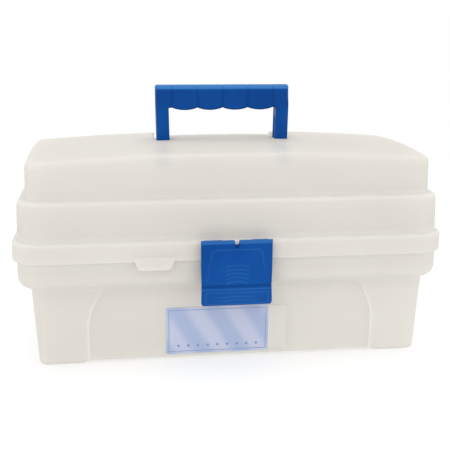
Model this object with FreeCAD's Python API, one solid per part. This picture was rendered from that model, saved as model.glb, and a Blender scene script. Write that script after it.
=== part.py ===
import FreeCAD, Part
import math
import os

V = FreeCAD.Vector

# Driving sizes in millimetres. The box stands on z = 0, its length runs along x and its front faces -y.
box_length = 355.0  # lid flange from end to end
box_depth = 178.0  # lid flange from front to back
corner_radius = 24.0  # flange corners seen from above
shell_wall = 2.0  # wall of the tub and of the lid
move_gap = 0.4  # air between pieces that pass each other
turn_gap = 0.08  # radial air between a pin and a bore that turns on it

# Tub: height of each band and how far it stands in from the flange
foot_height = 2.5
body_height = 67.5
shoulder_height = 22.9
foot_inset = 17.9
body_inset = 13.5
shoulder_inset = 3.5
shoulder_round = 9.0
foot_round = 4.0
inside_round = 1.0  # small inner corners of the mouldings
panel_depth = 2.0  # sunk panel between the corner columns
panel_half = 118.5
panel_arch = 50.0  # radius of the column edges near the shoulder
panel_spring = 30.0  # height at which the column edges start to bend
foot_pad_depth = 38.0
foot_pad_start = 121.5  # inner ends of the pads from the middle
foot_pad_slope = 2.5

# Lid: height of each band, its inset and the crown of the top
flange_height = 15.9
middle_height = 32.2
upper_height = 29.0
middle_inset = 4.3
upper_inset = 12.1
band_draft = 0.9
crown_along = 6.3
crown_across = 3.5
top_round = 5.0
step_round = 3.5
flange_round = 2.5
rim_round = 1.2
tab_left = -82.0  # thumb tab under the flange
tab_width = 34.0
tab_drop = 6.6
tab_taper = 4.5
tab_rise = 4.0
tab_proud = 1.2
tab_low_round = 4.0
tab_top_round = 2.0

# Rear hinge
hinge_knuckle_radius = 3.5
hinge_pin_radius = 1.5
hinge_knuckle_width = 14.0
hinge_set_in = 72.5  # hinge centre from the end of the flange
hinge_rise = 2.0  # axis above the lid edge
hinge_gusset = 12.0

# Front latch and its catch
latch_width = 57.4
latch_height = 53.6
latch_wall = 2.0
latch_ridge = 0.7
latch_knuckle_radius = 2.1
latch_pin_radius = 1.0
latch_lug_width = 23.0
latch_ear_width = 14.0
latch_axis_drop = 0.8  # axis below the flange top
latch_overhang = 2.5  # plate above the axis
latch_corner = 2.5
latch_border = 2.0  # width of the raised border lines
latch_border_round = 4.0
latch_border_top = 8.0  # border below the plate top
latch_border_low = 5.0  # border above the crease
latch_border_side = 3.5  # border from the plate sides at its foot
latch_border_lean = 5.0  # how far its sides lean in towards the top
latch_lip_margin = 1.5
latch_lip_side = 5.0
latch_notch_width = 3.6
latch_notch_depth = 4.2
latch_crease = 11.0  # height of the lower finger panel
latch_hook_height = 2.5
latch_hook_rise = 0.6
latch_hook_half = 18.0
catch_height = 11.0
catch_bite = 1.5
catch_ramp = 11.0
hook_set_back = 2.0  # hook tip in front of the flange face, measured inwards

# Carrying handle
handle_width = 116.4
handle_height = 63.5  # from its axis to the top of the grip
grip_height = 19.5
grip_top_round = 5.5
grip_low_round = 2.0
grip_lobes = 4
lobe_pitch = 21.9
lobe_depth = 2.0
lobe_set_in = 1.0
leg_width = 11.0
leg_lean = 1.1  # how far the legs stand in at their feet
leg_depth = 14.0
leg_air = 0.6  # pocket wall beside the legs
trunnion_radius = 4.0
trunnion_reach = 1.2
pocket_air = 1.5
pocket_corner = 4.0
pocket_depth = 25.8
finger_room = 11.5  # groove in front of the folded grip
island_round = 4.0
lip_drop = 10.3
lip_set_in = 3.0

# Trays, their dividers and the lifting arms
tray_wall = 1.8
tray_depth = 82.0
tray_corner = 7.0
tray_floor_round = 2.5
tray_air = 2.5  # tray end to the inside of the upper lid band
tray_front_air = 1.5  # tray front to the inside of the upper lid band
tray_lift = 1.0  # tray above the shoulder ledge
tray_stack_gap = 3.5
tray_top_air = 6.5
brush_channel = 30.0
upper_dividers = 5
lower_dividers = 3
divider_wall = 1.4
divider_drop = 2.0
slot_air = 0.15
slot_rib_width = 1.2
slot_rib_depth = 1.5
arm_side_gap = 2.5
arm_wall = 3.0
arm_half_width = 5.5
arm_spread = 60.0  # lid axis to the long arm axis, towards the front
short_arm_spread = 40.0  # long arm axis to the short arm axis
arm_axis_rise = 8.9  # arm axes above the shoulder ledge
tray_axis_set_in = 9.8  # axis that hangs the upper tray on the lid, from the tray back
tray_axis_rise = 19.7  # same axis above the underside of the upper tray
arm_share = 0.5  # where the lower tray sits along the long arm
rivet_radius = 2.5
rivet_head_radius = 4.0
rivet_head = 1.5
rivet_collar_radius = 3.5
boss_radius = 5.0
boss_bore_depth = 5.0

# Front sticker on the sunk panel
label_left = -55.4
label_width = 86.0
label_low = 4.8
label_height = 41.2
label_thickness = 0.25
label_corner = 1.0
strip_width = 16.0  # pale strip beside the sticker
strip_margin = 1.0

# Derived positions
half_length = box_length / 2
half_depth = box_depth / 2
lid_z = body_height + shoulder_height
flange_z = lid_z + flange_height
middle_z = flange_z + middle_height
top_edge_z = middle_z + upper_height
crest_z = top_edge_z + crown_along + crown_across
rim_z = flange_z - shell_wall - move_gap
floor_z = foot_height + shell_wall
over_top = crest_z + top_round

hinge_station = half_length - hinge_set_in
hinge_y = half_depth + hinge_knuckle_radius + 1.5 * move_gap
hinge_z = lid_z + hinge_rise

latch_axis_y = -(half_depth + latch_knuckle_radius + move_gap)
latch_axis_z = flange_z - latch_axis_drop
latch_back_y = latch_axis_y - latch_knuckle_radius - move_gap
latch_front_y = latch_back_y - latch_wall
latch_top_z = latch_axis_z + latch_overhang
latch_low_z = latch_top_z - latch_height
hook_y = -(half_depth - hook_set_back)
hook_z = latch_low_z + latch_hook_rise + latch_hook_height

handle_half = handle_width / 2
pocket_floor_z = crest_z - pocket_depth
handle_axis_z = pocket_floor_z + pocket_air + leg_depth / 2
handle_top_z = handle_axis_z + handle_height
foot_half = handle_half - leg_lean
pocket_half = handle_half + leg_air
slot_half = foot_half + leg_air
pocket_front = -(leg_depth / 2 + pocket_air)
pocket_back = handle_height + pocket_air
lip_z = crest_z - lip_drop
leg_inner = handle_half - leg_width
slot_inner = leg_inner - pocket_air
grip_low_z = handle_top_z - grip_height - lobe_depth
island_back = grip_low_z - handle_axis_z - finger_room

ledge_z = body_height + shell_wall
lid_inside = upper_inset + band_draft + shell_wall
tray_half = half_length - lid_inside - tray_air
tray_front = -(half_depth - lid_inside) + tray_front_air
tray_back = tray_front + tray_depth
lower_tray_z = ledge_z + tray_lift
tray_room = pocket_floor_z - shell_wall - tray_top_air - lower_tray_z
tray_height = (tray_room - tray_stack_gap) / 2
upper_tray_z = lower_tray_z + tray_height + tray_stack_gap

arm_inner_x = tray_half + arm_side_gap
arm_outer_x = arm_inner_x + arm_wall
lid_axis = (hinge_y, hinge_z)
hang_axis = (tray_back - tray_axis_set_in, upper_tray_z + tray_axis_rise)
reach = (hang_axis[0] - lid_axis[0], hang_axis[1] - lid_axis[1])
long_axis = (hinge_y - arm_spread, ledge_z + arm_axis_rise)
short_axis = (long_axis[0] - short_arm_spread, long_axis[1])
long_tip = (long_axis[0] + reach[0], long_axis[1] + reach[1])
long_middle = (long_axis[0] + arm_share * reach[0], long_axis[1] + arm_share * reach[1])
short_tip = (short_axis[0] + arm_share * reach[0], short_axis[1] + arm_share * reach[1])

label_right = label_left + label_width
label_top = label_low + label_height


def rounded_face(points):
    """Face in the xz plane through (x, z, rounding) points; each rounding becomes a tangent arc."""
    corners = []
    for i, (x, z, radius) in enumerate(points):
        here = V(x, 0, z)
        before = V(points[i - 1][0], 0, points[i - 1][1]) - here
        after = V(points[(i + 1) % len(points)][0], 0, points[(i + 1) % len(points)][1]) - here
        before.normalize()
        after.normalize()
        if radius == 0:
            corners.append((here, here, None))
            continue
        half_angle = before.getAngle(after) / 2
        tangent = radius / math.tan(half_angle)
        bisector = before + after
        bisector.normalize()
        middle = here + bisector * (radius / math.sin(half_angle) - radius)
        corners.append((here + before * tangent, here + after * tangent, middle))
    edges = []
    for i, (start, end, middle) in enumerate(corners):
        if middle is not None:
            edges.append(Part.Arc(start, middle, end).toShape())
        next_start = corners[(i + 1) % len(corners)][0]
        if end.distanceToPoint(next_start) > 1e-6:
            edges.append(Part.LineSegment(end, next_start).toShape())
    return Part.Face(Part.Wire(Part.__sortEdges__(edges)))


def plate(points, y_low, y_high):
    """Outline in the xz plane, made solid between two values of y."""
    face = rounded_face(points)
    face.translate(V(0, y_low, 0))
    return face.extrude(V(0, y_high - y_low, 0))


def bar(points, x_low, x_high):
    """Outline of (y, z, rounding) points, made solid between two values of x."""
    face = rounded_face(points)
    face.rotate(V(0, 0, 0), V(0, 0, 1), 90)
    face.translate(V(x_low, 0, 0))
    return face.extrude(V(x_high - x_low, 0, 0))


def slab(points, z_low, z_high):
    """Outline of (x, y, rounding) points, made solid between two heights."""
    face = rounded_face(points)
    face.rotate(V(0, 0, 0), V(1, 0, 0), -90)
    face.translate(V(0, 0, z_low))
    return face.extrude(V(0, 0, z_high - z_low))


def block(x_low, x_high, y_low, y_high, z_low, z_high, corner=0.0):
    """Upright box, with its four vertical edges rounded when a corner radius is given."""
    solid = Part.makeBox(x_high - x_low, y_high - y_low, z_high - z_low, V(x_low, y_low, z_low))
    if corner > 0:
        upright = [e for e in solid.Edges if abs(e.Vertexes[0].Z - e.Vertexes[-1].Z) > 1e-6]
        solid = solid.makeFillet(corner, upright)
    return solid


def rod(radius, x_low, x_high, axis):
    """Cylinder along x about an axis given as (y, z)."""
    return Part.makeCylinder(radius, x_high - x_low, V(x_low, axis[0], axis[1]), V(1, 0, 0))


def mirrored(shape):
    """The same shape on the other end of the box."""
    return shape.mirror(V(0, 0, 0), V(1, 0, 0))


def moulding(along, across, radius, outline):
    """Solid rounded rectangle whose sides follow an outline of (inset, z, rounding) points.
    It runs along the sides and turns about the corner axes; its last two points lie on those axes."""
    section = rounded_face([(along - inset, z, rounding) for inset, z, rounding in outline])
    section.translate(V(0, across - radius, 0))
    pivot = V(along - radius, across - radius, 0)
    turned = section.copy()
    turned.rotate(pivot, V(0, 0, 1), 90)
    low = outline[-1][1]
    high = outline[-2][1]
    quarter = section.revolve(pivot, V(0, 0, 1), 90).fuse([
        section.extrude(V(0, radius - across, 0)),
        turned.extrude(V(radius - along, 0, 0)),
        Part.makeBox(along - radius, across - radius, high - low, V(0, 0, low)),
    ])
    half = quarter.fuse(mirrored(quarter))
    return half.fuse(half.mirror(V(0, 0, 0), V(0, 1, 0))).removeSplitter()


def body_inset_at(z):
    """Inset of the sloping body wall at a height."""
    return foot_inset + (body_inset - foot_inset) * z / body_height


def panel_y(z):
    """Front of the sunk panel at a height."""
    return -half_depth + body_inset_at(z) + panel_depth


def sunk_panel(skin):
    """Space cut from the front between the corner columns, along the slope of the body; moved in by skin."""
    top = body_height + skin
    low = -1.0 if skin == 0 else floor_z - 1.0
    half = panel_half + skin
    arch = panel_arch + skin
    crown = panel_spring + arch
    opening = plate([(-half, low, 0), (half, low, 0), (half, crown, arch), (-half, crown, arch)],
                    -half_depth, 0)
    at_top = panel_y(top) + skin
    at_low = panel_y(low) + skin
    front = -half_depth - 1.0
    return opening.common(bar([(front, low, 0), (at_low, low, 0), (at_top, top, 0), (front, top, 0)],
                              -half_length, half_length))


def tub_block(skin):
    """Filled shape of the tub: its outside for skin 0, its inside for the wall thickness."""
    low = 0.0 if skin == 0 else floor_z
    high = rim_z if skin == 0 else rim_z + 1.0
    outline = [
        (body_inset_at(low) + skin, low, foot_round - skin),
        (body_inset + skin, body_height + skin, inside_round),
        (shoulder_inset + skin, body_height + skin, shoulder_round - skin),
        (shoulder_inset + skin, high, 0),
        (corner_radius, high, 0),
        (corner_radius, low, 0),
    ]
    solid = moulding(half_length, half_depth, corner_radius, outline)
    panel = sunk_panel(skin)
    return solid.cut([panel, panel.mirror(V(0, 0, 0), V(0, 1, 0))])


def crown_cutter(skin):
    """Everything above the crowned top: an arc across the lid, turned about a far axis below it."""
    crest = crest_z - skin
    rise_along = ((half_length - upper_inset) ** 2 + crown_along ** 2) / (2 * crown_along) - skin
    rise_across = ((half_depth - upper_inset) ** 2 + crown_across ** 2) / (2 * crown_across) - skin
    edge_drop = rise_across - math.sqrt(rise_across ** 2 - half_depth ** 2)
    left = V(0, -half_depth, crest - edge_drop)
    right = V(0, half_depth, crest - edge_drop)
    roof = over_top + 2 * top_round
    edges = [
        Part.Arc(left, V(0, 0, crest), right).toShape(),
        Part.LineSegment(right, V(0, half_depth, roof)).toShape(),
        Part.LineSegment(V(0, half_depth, roof), V(0, -half_depth, roof)).toShape(),
        Part.LineSegment(V(0, -half_depth, roof), left).toShape(),
    ]
    face = Part.Face(Part.Wire(edges))
    centre = V(0, 0, crest - rise_along)
    swing = math.degrees(math.asin(half_length / rise_along)) + 1.0
    face.rotate(centre, V(0, 1, 0), -swing)
    return face.revolve(centre, V(0, 1, 0), 2 * swing)


def lid_block(skin):
    """Filled shape of the lid: its outside for skin 0, its inside for the wall thickness."""
    low = lid_z if skin == 0 else lid_z - 1.0
    outline = [
        (skin, low, 0 if skin else rim_round),
        (skin, flange_z - skin, flange_round - skin),
        (middle_inset + skin, flange_z - skin, inside_round),
        (middle_inset + band_draft + skin, middle_z - skin, step_round - skin),
        (upper_inset + skin, middle_z - skin, inside_round),
        (upper_inset + band_draft + skin, over_top, 0),
        (corner_radius, over_top, 0),
        (corner_radius, low, 0),
    ]
    solid = moulding(half_length, half_depth, corner_radius, outline).cut(crown_cutter(skin))
    top = max(solid.Faces, key=lambda f: f.CenterOfMass.z)
    return solid.makeFillet(top_round - skin, top.OuterWire.Edges)


def pocket_block(skin):
    """Space for the folded handle, grown by skin, with a lowered lip along its back.
    Its sides stand close to the feet of the legs and widen towards the grip."""
    low = pocket_floor_z - skin
    front = pocket_front - skin
    back = pocket_back + skin
    half = pocket_half + skin
    inner = slot_inner - skin
    outer = slot_half + skin
    slot = slab([(inner, front, 0), (outer, front, 0), (outer, leg_depth / 2, 0), (half, island_back, 0),
                 (half, back, 0), (inner, back, 0)], low, over_top)
    groove = block(-half, half, island_back - skin, back, low, over_top, pocket_corner + skin)
    lip_half = pocket_half - lip_set_in + skin
    lip = block(-lip_half, lip_half, pocket_back - pocket_corner, half_depth, lip_z - skin, over_top)
    return groove.fuse([slot, mirrored(slot), lip]).removeSplitter()


def knuckle_spans():
    """The x spans of one hinge: tub knuckle, lid knuckle, tub knuckle, from left to right."""
    width = hinge_knuckle_width
    inner = width / 2
    return ((-inner - move_gap - width, -inner - move_gap), (-inner, inner),
            (inner + move_gap, inner + move_gap + width))


def build_tub():
    tub = tub_block(0).cut(tub_block(shell_wall))
    # the underside is raised between the four corner feet
    span = half_length + 1
    pad_y = half_depth - foot_inset - foot_pad_depth
    tub = tub.cut([
        plate([(-foot_pad_start - foot_pad_slope, 0, 0), (foot_pad_start + foot_pad_slope, 0, 0),
               (foot_pad_start, foot_height, 0), (-foot_pad_start, foot_height, 0)], -span, span),
        block(-span, span, -pad_y, pad_y, -1, foot_height),
    ])
    # arm bosses stand in from the end walls at the two base axes
    wall_x = half_length - shoulder_inset - shell_wall
    boss_x = arm_outer_x + move_gap
    adds = []
    bores = []
    for axis in (long_axis, short_axis):
        boss = rod(boss_radius, boss_x, wall_x + shell_wall / 2, axis)
        bore = rod(rivet_radius, boss_x, boss_x + boss_bore_depth, axis)
        adds += [boss, mirrored(boss)]
        bores += [bore, mirrored(bore)]
    # hinge knuckles carried by gussets under the lid edge
    back_y = half_depth - shoulder_inset
    shelf_z = lid_z - move_gap
    low_y = hinge_y + hinge_knuckle_radius / math.sqrt(2)
    low_z = hinge_z - hinge_knuckle_radius / math.sqrt(2)
    outline = [(back_y - shell_wall / 2, shelf_z, 0), (back_y - shell_wall / 2, shelf_z - hinge_gusset, 0),
               (low_y, low_z, 0), (hinge_y, shelf_z, 0)]
    spans = knuckle_spans()
    for centre in (-hinge_station, hinge_station):
        for low, high in (spans[0], spans[2]):
            adds.append(bar(outline, centre + low, centre + high))
            adds.append(rod(hinge_knuckle_radius, centre + low, centre + high, (hinge_y, hinge_z)))
        bores.append(rod(hinge_pin_radius, centre + spans[0][0], centre + spans[2][1], (hinge_y, hinge_z)))
    # ramped catch behind the latch
    face_y = -(half_depth - shoulder_inset)
    deep_y = -(half_depth - body_inset - shell_wall / 2)
    low = hook_z + move_gap
    nose_z = low + catch_height
    adds.append(bar([(deep_y, low, 0), (hook_y + move_gap, low, 0), (hook_y - catch_bite, nose_z, inside_round),
                     (face_y, nose_z + catch_ramp, 0), (face_y + shell_wall / 2, nose_z, 0),
                     (deep_y, body_height, 0)],
                    -latch_hook_half, latch_hook_half))
    return tub.fuse(adds).cut(bores).removeSplitter()


def build_lid():
    outside = lid_block(0)
    lid = outside.cut(lid_block(shell_wall))
    # leg slots and a cross groove take the folded handle; the lid between the slots stays as an island
    lid = lid.fuse(outside.common(pocket_block(shell_wall))).cut(pocket_block(0))
    rear = [e for e in lid.Edges if e.BoundBox.YLength < 0.01 and abs(e.BoundBox.YMin - island_back) < 0.01
            and e.BoundBox.ZMin > lip_z and e.BoundBox.XLength > leg_inner]
    lid = lid.makeFillet(island_round, rear)
    # hinge knuckles, latch lug, tray bosses and thumb tab
    adds = []
    low, high = knuckle_spans()[1]
    for centre in (-hinge_station, hinge_station):
        adds.append(rod(hinge_knuckle_radius, centre + low, centre + high, (hinge_y, hinge_z)))
        adds.append(block(centre + low, centre + high, half_depth - shell_wall / 2, hinge_y, lid_z,
                          hinge_z + hinge_knuckle_radius))
    lug_half = latch_lug_width / 2
    adds.append(rod(latch_knuckle_radius, -lug_half, lug_half, (latch_axis_y, latch_axis_z)))
    adds.append(block(-lug_half, lug_half, latch_axis_y, -half_depth + 0.75 * shell_wall,
                      latch_axis_z - latch_knuckle_radius, latch_axis_z))
    boss_x = tray_half + 1.5 * move_gap
    boss = rod(boss_radius, boss_x, half_length - middle_inset - shell_wall / 2, hang_axis)
    adds += [boss, mirrored(boss)]
    tab_right = tab_left + tab_width
    tab_low = lid_z - tab_drop
    tab_top = lid_z + tab_rise
    adds.append(plate([(tab_left, tab_top, tab_top_round), (tab_left + tab_taper, tab_low, tab_low_round),
                       (tab_right - tab_taper, tab_low, tab_low_round), (tab_right, tab_top, tab_top_round)],
                      -half_depth - tab_proud, -half_depth + 0.75 * shell_wall))
    bores = []
    hinge_bore = hinge_pin_radius + turn_gap
    for centre in (-hinge_station, hinge_station):
        bores.append(rod(hinge_bore, centre + low, centre + high, (hinge_y, hinge_z)))
    bores.append(rod(latch_pin_radius, -lug_half, lug_half, (latch_axis_y, latch_axis_z)))
    hang_bore = rod(rivet_radius, boss_x, boss_x + boss_bore_depth, hang_axis)
    socket = rod(trunnion_radius + turn_gap, slot_half - shell_wall, slot_half + 2 * shell_wall,
                 (0, handle_axis_z))
    bores += [hang_bore, mirrored(hang_bore), socket, mirrored(socket)]
    return lid.fuse(adds).cut(bores).removeSplitter()


def build_handle():
    half = leg_depth / 2
    cusp_z = handle_top_z - grip_height
    grip = bar([(-half, cusp_z, grip_low_round), (half, cusp_z, grip_low_round),
                (half, handle_top_z, grip_top_round), (-half, handle_top_z, grip_top_round)],
               -handle_half, handle_half)
    # finger lobes hang below the grip as circular segments that root in it
    lobe_y = half - lobe_set_in
    adds = []
    for i in range(grip_lobes):
        left = V((i - grip_lobes / 2) * lobe_pitch, -lobe_y, cusp_z)
        right = left + V(lobe_pitch, 0, 0)
        low = left + V(lobe_pitch / 2, 0, -lobe_depth)
        root = V(0, 0, grip_low_round)
        edges = [
            Part.Arc(left, low, right).toShape(),
            Part.LineSegment(right, right + root).toShape(),
            Part.LineSegment(right + root, left + root).toShape(),
            Part.LineSegment(left + root, left).toShape(),
        ]
        adds.append(Part.Face(Part.Wire(edges)).extrude(V(0, 2 * lobe_y, 0)))
    # legs lean in, end round about the axis and carry the trunnions
    root_z = cusp_z + grip_low_round
    leg = plate([(leg_inner, handle_axis_z, 0), (foot_half, handle_axis_z, 0), (handle_half, cusp_z, 0),
                 (handle_half, root_z, 0), (leg_inner, root_z, 0)], -half, half)
    end = rod(half, leg_inner, foot_half, (0, handle_axis_z))
    pin = rod(trunnion_radius, handle_half - leg_width / 2, slot_half + shell_wall + trunnion_reach,
              (0, handle_axis_z))
    for piece in (leg, end, pin):
        adds += [piece, mirrored(piece)]
    return grip.fuse(adds).removeSplitter()


def build_latch():
    half = latch_width / 2
    body = plate([(-half, latch_low_z, latch_corner), (half, latch_low_z, latch_corner),
                  (half, latch_top_z, latch_corner), (-half, latch_top_z, latch_corner)],
                 latch_front_y, latch_back_y)
    # raised border lines of the main panel and of the finger panel below the crease
    crease_z = latch_low_z + latch_crease
    wide = half - latch_border_side
    lip_half = half - latch_lip_side
    ridge_y = latch_front_y - latch_ridge
    borders = []
    for top, low, low_half, top_half in (
            (latch_top_z - latch_border_top, crease_z + latch_border_low, wide, wide - latch_border_lean),
            (crease_z - latch_lip_margin, latch_low_z + latch_lip_margin, lip_half, lip_half)):
        rings = []
        for skin in (0.0, latch_border):
            corner = (latch_border_round - skin) * min(1.0, (top - low) / (4 * latch_border_round))
            rings.append(plate([(-low_half + skin, low + skin, corner), (low_half - skin, low + skin, corner),
                                (top_half - skin, top - skin, corner), (-top_half + skin, top - skin, corner)],
                               ridge_y, latch_front_y))
        borders.append(rings[0].cut(rings[1]))
    # ears around the pin, on both sides of the lid lug
    inner = latch_lug_width / 2 + move_gap
    outer = inner + latch_ear_width
    radius = latch_knuckle_radius
    ear = rod(radius, inner, outer, (latch_axis_y, latch_axis_z)).fuse(
        block(inner, outer, latch_back_y, latch_axis_y, latch_axis_z - radius, latch_axis_z + radius))
    hook = block(-latch_hook_half, latch_hook_half, latch_back_y, hook_y, hook_z - latch_hook_height, hook_z)
    body = body.fuse(borders + [ear, mirrored(ear), hook])
    bore = latch_pin_radius + turn_gap
    notch = block(-latch_notch_width / 2, latch_notch_width / 2, ridge_y, latch_back_y,
                  latch_top_z - latch_notch_depth, latch_top_z + 1)
    return body.cut([rod(bore, -half, half, (latch_axis_y, latch_axis_z)), notch]).removeSplitter()


def divider_places(count):
    """Centres of evenly spaced dividers inside a tray."""
    inner = tray_half - tray_wall
    return [-inner + 2 * inner * (i + 1) / (count + 1) for i in range(count)]


def slot_ribs(places, y_low, y_high, z_low, z_high):
    """Pairs of upright ribs on two facing walls that hold a divider between them; they root in the walls."""
    ribs = []
    half_slot = divider_wall / 2 + slot_air
    root = tray_wall / 2
    for x in places:
        for near in (x - half_slot - slot_rib_width, x + half_slot):
            far = near + slot_rib_width
            ribs.append(block(near, far, y_low - root, y_low + slot_rib_depth, z_low - root, z_high))
            ribs.append(block(near, far, y_high - slot_rib_depth, y_high + root, z_low - root, z_high))
    return ribs


def build_tray(base_z, axes, hung, count, channel):
    """Open tray with rivet bores at its end axes, divider slots and, if wanted, a long front channel."""
    top_z = base_z + tray_height
    solids = []
    for skin in (0.0, tray_wall):
        low = base_z + skin
        high = top_z + (1.0 if skin else 0.0)
        outline = [(skin, low, tray_floor_round - skin / 2), (skin, high, 0),
                   (tray_corner, high, 0), (tray_corner, low, 0)]
        solid = moulding(tray_half, tray_depth / 2, tray_corner, outline)
        solid.translate(V(0, tray_front + tray_depth / 2, 0))
        solids.append(solid)
    tray = solids[0].cut(solids[1])
    y_low = tray_front + tray_wall
    y_high = tray_back - tray_wall
    floor = base_z + tray_wall
    inner = tray_half - tray_wall
    adds = []
    if channel > 0:
        y_low += channel
        adds.append(block(-inner - tray_wall / 2, inner + tray_wall / 2, y_low, y_low + tray_wall,
                          floor - tray_wall / 2, top_z - divider_drop))
        y_low += tray_wall
    adds += slot_ribs(divider_places(count), y_low, y_high, floor, top_z - 2 * divider_drop)
    bores = []
    for axis in axes:
        bores.append(rod(rivet_radius, inner - 1, tray_half + 1, axis))
    if hung is not None:
        bores.append(rod(rivet_radius + turn_gap, inner - 1, tray_half + 1, hung))
    bores += [mirrored(b) for b in bores]
    return tray.fuse(adds).cut(bores).removeSplitter()


def build_divider(x, base_z, channel):
    """Removable cross wall that stands on the tray floor between two pairs of slot ribs."""
    y_low = tray_front + tray_wall + slot_air
    y_high = tray_back - tray_wall - slot_air
    if channel > 0:
        y_low += channel + tray_wall
    low = base_z + tray_wall
    high = base_z + tray_height - divider_drop
    foot = tray_floor_round + slot_air
    return bar([(y_low, low, foot), (y_high, low, foot),
                (y_high, high, inside_round), (y_low, high, inside_round)],
               x - divider_wall / 2, x + divider_wall / 2)


def build_arm(start, tip, holes):
    """Flat bar with round ends about its first and last axis, bored to turn on its rivets."""
    length = math.hypot(tip[0] - start[0], tip[1] - start[1])
    angle = math.degrees(math.atan2(tip[1] - start[1], tip[0] - start[0]))
    arm = Part.makeBox(arm_wall, length, 2 * arm_half_width, V(arm_inner_x, 0, -arm_half_width))
    arm = arm.fuse([rod(arm_half_width, arm_inner_x, arm_outer_x, (0, 0)),
                    rod(arm_half_width, arm_inner_x, arm_outer_x, (length, 0))])
    arm.rotate(V(0, 0, 0), V(1, 0, 0), angle)
    arm.translate(V(0, start[0], start[1]))
    return arm.cut([rod(rivet_radius + turn_gap, arm_inner_x, arm_outer_x, h) for h in holes]).removeSplitter()


def base_rivet(axis):
    """Fixed in the tub boss, with its head on the tray side of the arm."""
    head_x = arm_inner_x - move_gap - rivet_head
    return rod(rivet_head_radius, head_x, head_x + rivet_head, axis).fuse(
        rod(rivet_radius, head_x, arm_outer_x + move_gap + boss_bore_depth, axis)).removeSplitter()


def tray_rivet(axis):
    """Fixed in the tray wall, with a collar against it and its head outside the arm."""
    head_x = arm_outer_x + move_gap
    return rod(rivet_radius, tray_half - tray_wall, head_x + rivet_head, axis).fuse([
        rod(rivet_collar_radius, tray_half, arm_inner_x - move_gap, axis),
        rod(rivet_head_radius, head_x, head_x + rivet_head, axis)]).removeSplitter()


def lid_rivet(axis):
    """Fixed in the lid boss, with its head inside the tray that turns on it."""
    head_x = tray_half - tray_wall - move_gap - rivet_head
    return rod(rivet_head_radius, head_x, head_x + rivet_head, axis).fuse(
        rod(rivet_radius, head_x, tray_half + 1.5 * move_gap + boss_bore_depth, axis)).removeSplitter()


def build_label(left, right, low, high):
    """Thin sticker lying on the slope of the sunk front panel."""
    sheet = bar([(panel_y(low) - label_thickness, low, 0), (panel_y(low), low, 0), (panel_y(high), high, 0),
                 (panel_y(high) - label_thickness, high, 0)], -half_length, half_length)
    return sheet.common(plate([(left, low, label_corner), (right, low, label_corner),
                               (right, high, label_corner), (left, high, label_corner)], -half_depth, 0))


latch_pin_half = latch_lug_width / 2 + latch_ear_width
parts = {
    "base_tub": build_tub(),
    "lid_shell": build_lid(),
    "carry_handle": build_handle(),
    "front_latch": build_latch(),
    "front_label": build_label(label_left, label_right, label_low, label_top),
    "label_strip": build_label(label_right, label_right + strip_width, label_low + strip_margin,
                               label_top - strip_margin),
    "latch_pin": rod(latch_pin_radius, -latch_pin_half, latch_pin_half, (latch_axis_y, latch_axis_z)),
    "upper_tray": build_tray(upper_tray_z, [long_tip], hang_axis, upper_dividers, brush_channel),
    "lower_tray": build_tray(lower_tray_z, [long_middle, short_tip], None, lower_dividers, 0),
}
pin_span = knuckle_spans()
for side, sign in (("left", -1), ("right", 1)):
    centre = sign * hinge_station
    parts["hinge_pin_" + side] = rod(hinge_pin_radius, centre + pin_span[0][0], centre + pin_span[2][1],
                                     (hinge_y, hinge_z))
    pieces = {
        "long_arm_": build_arm(long_axis, long_tip, [long_axis, long_middle, long_tip]),
        "short_arm_": build_arm(short_axis, short_tip, [short_axis, short_tip]),
        "long_arm_base_rivet_": base_rivet(long_axis),
        "short_arm_base_rivet_": base_rivet(short_axis),
        "long_arm_middle_rivet_": tray_rivet(long_middle),
        "short_arm_tray_rivet_": tray_rivet(short_tip),
        "long_arm_tip_rivet_": tray_rivet(long_tip),
        "lid_tray_rivet_": lid_rivet(hang_axis),
    }
    for name, shape in pieces.items():
        parts[name + side] = mirrored(shape) if sign < 0 else shape
for i, x in enumerate(divider_places(upper_dividers)):
    parts["upper_divider_%d" % (i + 1)] = build_divider(x, upper_tray_z, brush_channel)
for i, x in enumerate(divider_places(lower_dividers)):
    parts["lower_divider_%d" % (i + 1)] = build_divider(x, lower_tray_z, 0)

os.makedirs("parts", exist_ok=True)
for name, shape in parts.items():
    shape.exportStep("parts/%s.step" % name)
    print(name, len(shape.Solids), shape.isValid(), round(shape.Volume))
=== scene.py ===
import math

import bmesh
import bpy
import numpy as np
from mathutils import Matrix, Vector


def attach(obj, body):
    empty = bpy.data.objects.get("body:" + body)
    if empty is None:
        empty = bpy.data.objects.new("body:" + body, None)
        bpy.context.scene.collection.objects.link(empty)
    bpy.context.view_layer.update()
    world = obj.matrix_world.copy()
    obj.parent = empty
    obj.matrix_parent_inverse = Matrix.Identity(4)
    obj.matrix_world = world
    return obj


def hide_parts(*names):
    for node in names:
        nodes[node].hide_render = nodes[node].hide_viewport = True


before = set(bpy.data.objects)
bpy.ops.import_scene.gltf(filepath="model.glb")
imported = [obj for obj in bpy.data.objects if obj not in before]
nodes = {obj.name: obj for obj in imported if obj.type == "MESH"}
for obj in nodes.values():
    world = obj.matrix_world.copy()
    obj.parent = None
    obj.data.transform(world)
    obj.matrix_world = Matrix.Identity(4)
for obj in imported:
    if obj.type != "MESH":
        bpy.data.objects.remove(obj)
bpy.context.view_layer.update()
mm = 0.001  # handle, latch and camera are given in millimetres, everything else in metres
white = (1.0, 1.0, 1.0, 1.0)
print("frame loaded:", len(nodes), "nodes")


def smoothStep(low, high, x):
    # 0 before low, 1 beyond high, with a soft S between them; a low above high turns it round
    t = np.clip((x - low) / (high - low), 0.0, 1.0)
    return t * t * (3 - 2 * t)


def stepAt(edge, soft, x):
    # soft step from 0 to 1 as x passes the edge; a negative soft turns it round
    return smoothStep(edge - soft, edge + soft, x)


def addObject(name, data):
    made = bpy.data.objects.new(name, data)
    bpy.context.scene.collection.objects.link(made)
    return made


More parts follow.
